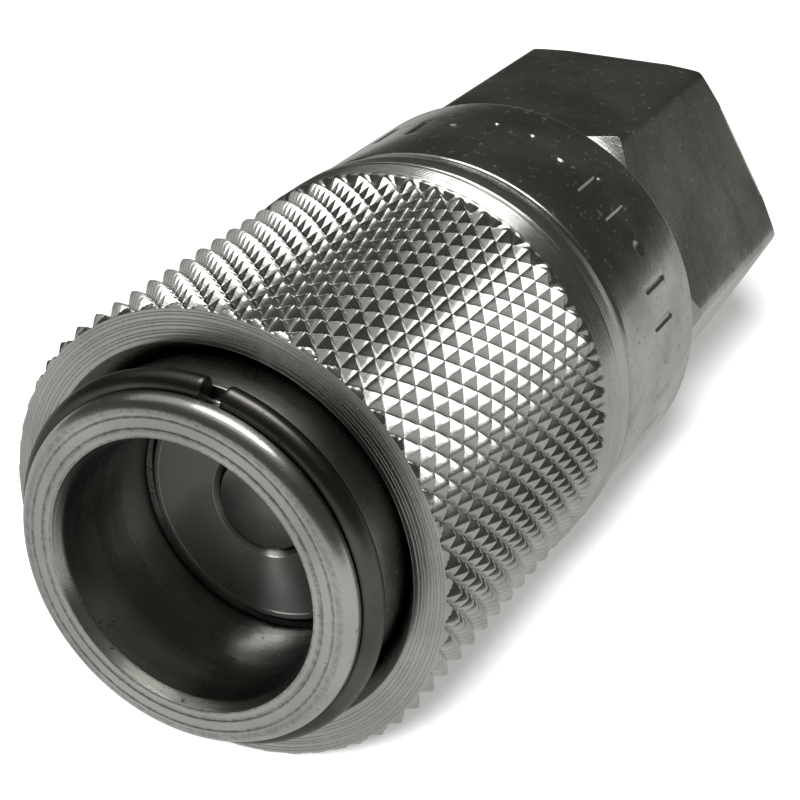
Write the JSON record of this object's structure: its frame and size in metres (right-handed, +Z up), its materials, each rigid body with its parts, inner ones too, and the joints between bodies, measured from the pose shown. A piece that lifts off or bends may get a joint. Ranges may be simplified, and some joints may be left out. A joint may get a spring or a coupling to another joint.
{
  "type": "quick disconnect coupler",
  "caption": "Female quick disconnect hydraulic coupler: knurled ball-lock sleeve, flat-face valve in the bore, plain collar and hex with a female pipe thread.",
  "frame": {"origin": "on the coupler's axis at the mouth, in the plane of the nose face", "axes": "+Y along the axis from the mouth to the hex, +Z up out of one hex flat, +X to the right when looking into the hex end from the mouth"},
  "size_m": [0.029, 0.0643, 0.029],
  "materials": {
    "zinc_steel": "bright zinc plated, turned",
    "knurled_steel": "bright zinc plated, cut diamond knurl",
    "collar_steel": "zinc plated, smooth turned collar and milled hex",
    "turned_steel": "fine turned faces",
    "plain_steel": "plain turned",
    "spring_steel": "drawn wire",
    "ball_steel": "ground and polished",
    "seal_rubber": "nitrile",
    "backup_ptfe": "white fluoropolymer"
  },
  "bodies": {
    "coupler_body": {"front_body": "zinc_steel", "rear_adapter": "collar_steel", "snap_ring": "spring_steel", "valve_stem": "turned_steel", "stem_holder": "plain_steel", "stem_washer": "plain_steel", "stem_nut": "plain_steel", "plug_seal": "seal_rubber", "plug_seal_backup": "backup_ptfe", "joint_seal": "seal_rubber", "joint_seal_backup": "backup_ptfe", "stem_seal": "seal_rubber", "sleeve_spring": "spring_steel", "valve_spring": "spring_steel"},
    "thrust_ring": {"sleeve_thrust_ring": "plain_steel"},
    "sleeve": {"locking_sleeve": "knurled_steel"},
    "valve": {"valve_sleeve": "turned_steel"},
    "ball_1": {"locking_ball_1": "ball_steel"},
    "ball_2": {"locking_ball_2": "ball_steel"},
    "ball_3": {"locking_ball_3": "ball_steel"},
    "ball_4": {"locking_ball_4": "ball_steel"},
    "ball_5": {"locking_ball_5": "ball_steel"},
    "ball_6": {"locking_ball_6": "ball_steel"},
    "ball_7": {"locking_ball_7": "ball_steel"},
    "ball_8": {"locking_ball_8": "ball_steel"}
  },
  "joints": [
    {"name": "sleeve_slide", "type": "slide", "parent": "coupler_body", "child": "thrust_ring", "axis": [0, -1, 0], "range_m": [0, 0.0032], "stiffness_N_per_m": 2000, "springref_m": 0.0075, "deforming": ["sleeve_spring"]},
    {"name": "sleeve_spin", "type": "hinge", "parent": "thrust_ring", "child": "sleeve", "pos_m": [0, 0.02, 0], "axis": [0, 1, 0], "continuous": true},
    {"name": "valve_slide", "type": "slide", "parent": "coupler_body", "child": "valve", "axis": [0, 1, 0], "range_m": [0, 0.01], "stiffness_N_per_m": 800, "springref_m": -0.01, "deforming": ["valve_spring"]},
    {"name": "ball_1_slide", "type": "slide", "parent": "coupler_body", "child": "ball_1", "axis": [0, 0, -1], "range_m": [0, 0.00127]},
    {"name": "ball_2_slide", "type": "slide", "parent": "coupler_body", "child": "ball_2", "axis": [-0.7071, 0, -0.7071], "range_m": [0, 0.00127]},
    {"name": "ball_3_slide", "type": "slide", "parent": "coupler_body", "child": "ball_3", "axis": [-1, 0, 0], "range_m": [0, 0.00127]},
    {"name": "ball_4_slide", "type": "slide", "parent": "coupler_body", "child": "ball_4", "axis": [-0.7071, 0, 0.7071], "range_m": [0, 0.00127]},
    {"name": "ball_5_slide", "type": "slide", "parent": "coupler_body", "child": "ball_5", "axis": [0, 0, 1], "range_m": [0, 0.00127]},
    {"name": "ball_6_slide", "type": "slide", "parent": "coupler_body", "child": "ball_6", "axis": [0.7071, 0, 0.7071], "range_m": [0, 0.00127]},
    {"name": "ball_7_slide", "type": "slide", "parent": "coupler_body", "child": "ball_7", "axis": [1, 0, 0], "range_m": [0, 0.00127]},
    {"name": "ball_8_slide", "type": "slide", "parent": "coupler_body", "child": "ball_8", "axis": [0.7071, 0, -0.7071], "range_m": [0, 0.00127]}
  ],
  "couplings": [
    {"joint": "valve_slide", "follows": "sleeve_slide", "ratio": 3.125},
    {"joint": "ball_1_slide", "follows": "sleeve_slide", "ratio": 0.39687},
    {"joint": "ball_2_slide", "follows": "sleeve_slide", "ratio": 0.39687},
    {"joint": "ball_3_slide", "follows": "sleeve_slide", "ratio": 0.39687},
    {"joint": "ball_4_slide", "follows": "sleeve_slide", "ratio": 0.39687},
    {"joint": "ball_5_slide", "follows": "sleeve_slide", "ratio": 0.39687},
    {"joint": "ball_6_slide", "follows": "sleeve_slide", "ratio": 0.39687},
    {"joint": "ball_7_slide", "follows": "sleeve_slide", "ratio": 0.39687},
    {"joint": "ball_8_slide", "follows": "sleeve_slide", "ratio": 0.39687}
  ]
}
